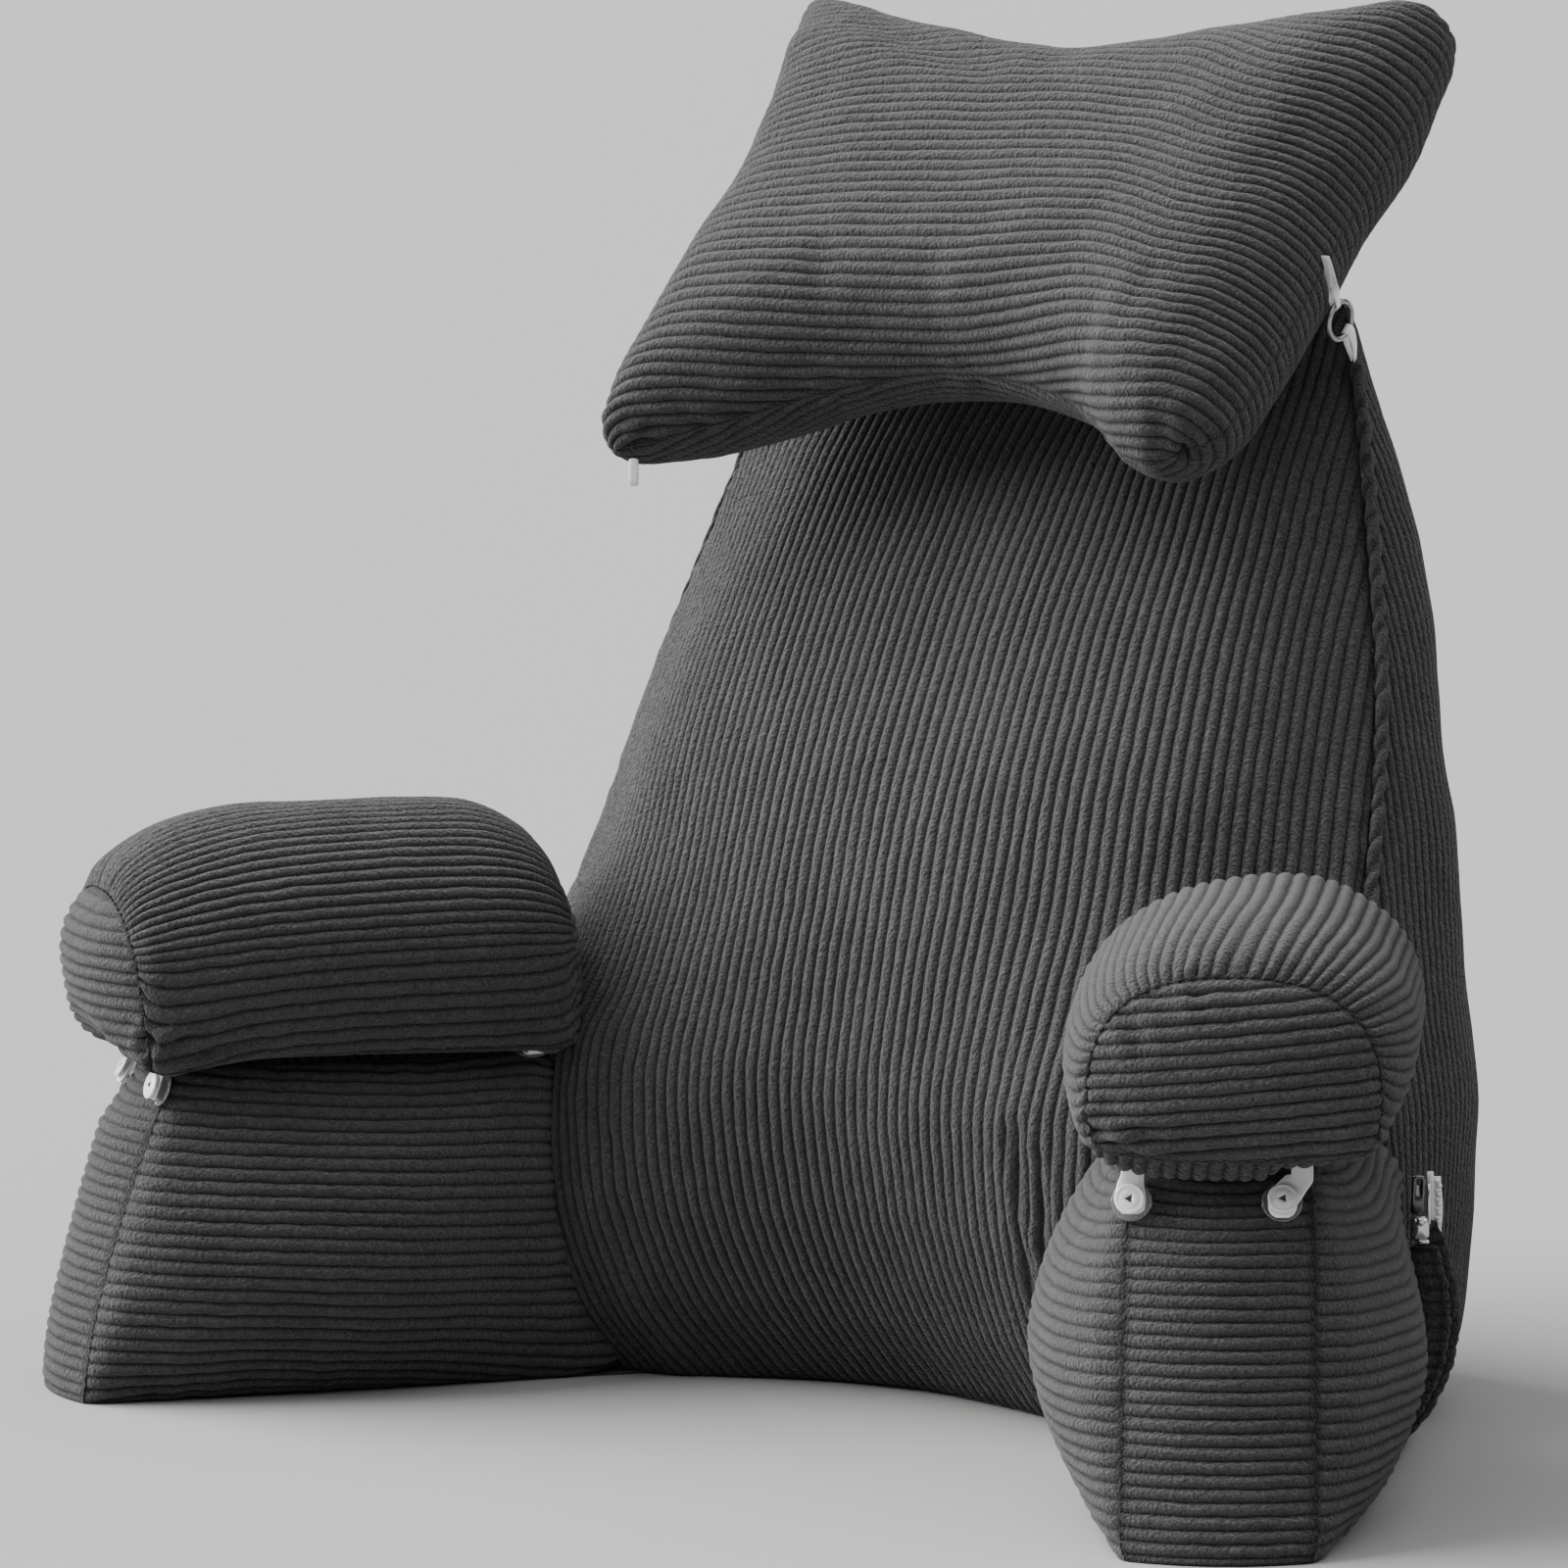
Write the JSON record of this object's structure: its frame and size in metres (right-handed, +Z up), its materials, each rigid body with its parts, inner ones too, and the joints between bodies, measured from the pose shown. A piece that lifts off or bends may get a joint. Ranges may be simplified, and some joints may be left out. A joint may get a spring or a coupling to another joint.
{
  "type": "reading pillow with arms",
  "caption": "Upright corduroy back cushion with splayed padded arms, loaf-shaped arm bolsters snapped on top and a tilted neck pillow held at its top edge.",
  "frame": {"origin": "on the floor plane under the middle of the backrest, at the front panel's foot line", "axes": "+Z up, -Y toward the open side between the arms, +X toward the arm that carries the zip"},
  "size_m": [0.6844, 0.4477, 0.5966],
  "materials": {
    "charcoal_corduroy": "matte wide-wale corduroy",
    "white_satin_tape": "satin",
    "frosted_clear_plastic": "glossy, slightly milky",
    "chrome_metal": "polished"
  },
  "bodies": {
    "root": {"arm_left": "charcoal_corduroy", "arm_right": "charcoal_corduroy", "backrest": "charcoal_corduroy", "bolster_left": "charcoal_corduroy", "bolster_right": "charcoal_corduroy", "corner_tape": "white_satin_tape", "neck_pillow": "charcoal_corduroy", "ring_left": "chrome_metal", "ring_loop_lower_left": "white_satin_tape", "ring_loop_lower_right": "white_satin_tape", "ring_loop_upper_left": "white_satin_tape", "ring_loop_upper_right": "white_satin_tape", "ring_right": "chrome_metal", "tab_left_front_inner_base": "frosted_clear_plastic", "tab_left_front_inner_cap": "frosted_clear_plastic", "tab_left_front_inner_tape": "white_satin_tape", "tab_left_front_outer_base": "frosted_clear_plastic", "tab_left_front_outer_cap": "frosted_clear_plastic", "tab_left_front_outer_tape": "white_satin_tape", "tab_left_rear_inner_base": "frosted_clear_plastic", "tab_left_rear_inner_cap": "frosted_clear_plastic", "tab_left_rear_inner_tape": "white_satin_tape", "tab_left_rear_outer_base": "frosted_clear_plastic", "tab_left_rear_outer_cap": "frosted_clear_plastic", "tab_left_rear_outer_tape": "white_satin_tape", "tab_right_front_inner_base": "frosted_clear_plastic", "tab_right_front_inner_cap": "frosted_clear_plastic", "tab_right_front_inner_tape": "white_satin_tape", "tab_right_front_outer_base": "frosted_clear_plastic", "tab_right_front_outer_cap": "frosted_clear_plastic", "tab_right_front_outer_tape": "white_satin_tape", "tab_right_rear_inner_base": "frosted_clear_plastic", "tab_right_rear_inner_cap": "frosted_clear_plastic", "tab_right_rear_inner_tape": "white_satin_tape", "tab_right_rear_outer_base": "frosted_clear_plastic", "tab_right_rear_outer_cap": "frosted_clear_plastic", "tab_right_rear_outer_tape": "white_satin_tape", "zip_flap": "charcoal_corduroy", "zip_pull": "chrome_metal", "zip_slider": "chrome_metal", "zip_tape": "white_satin_tape"}
  },
  "joints": []
}
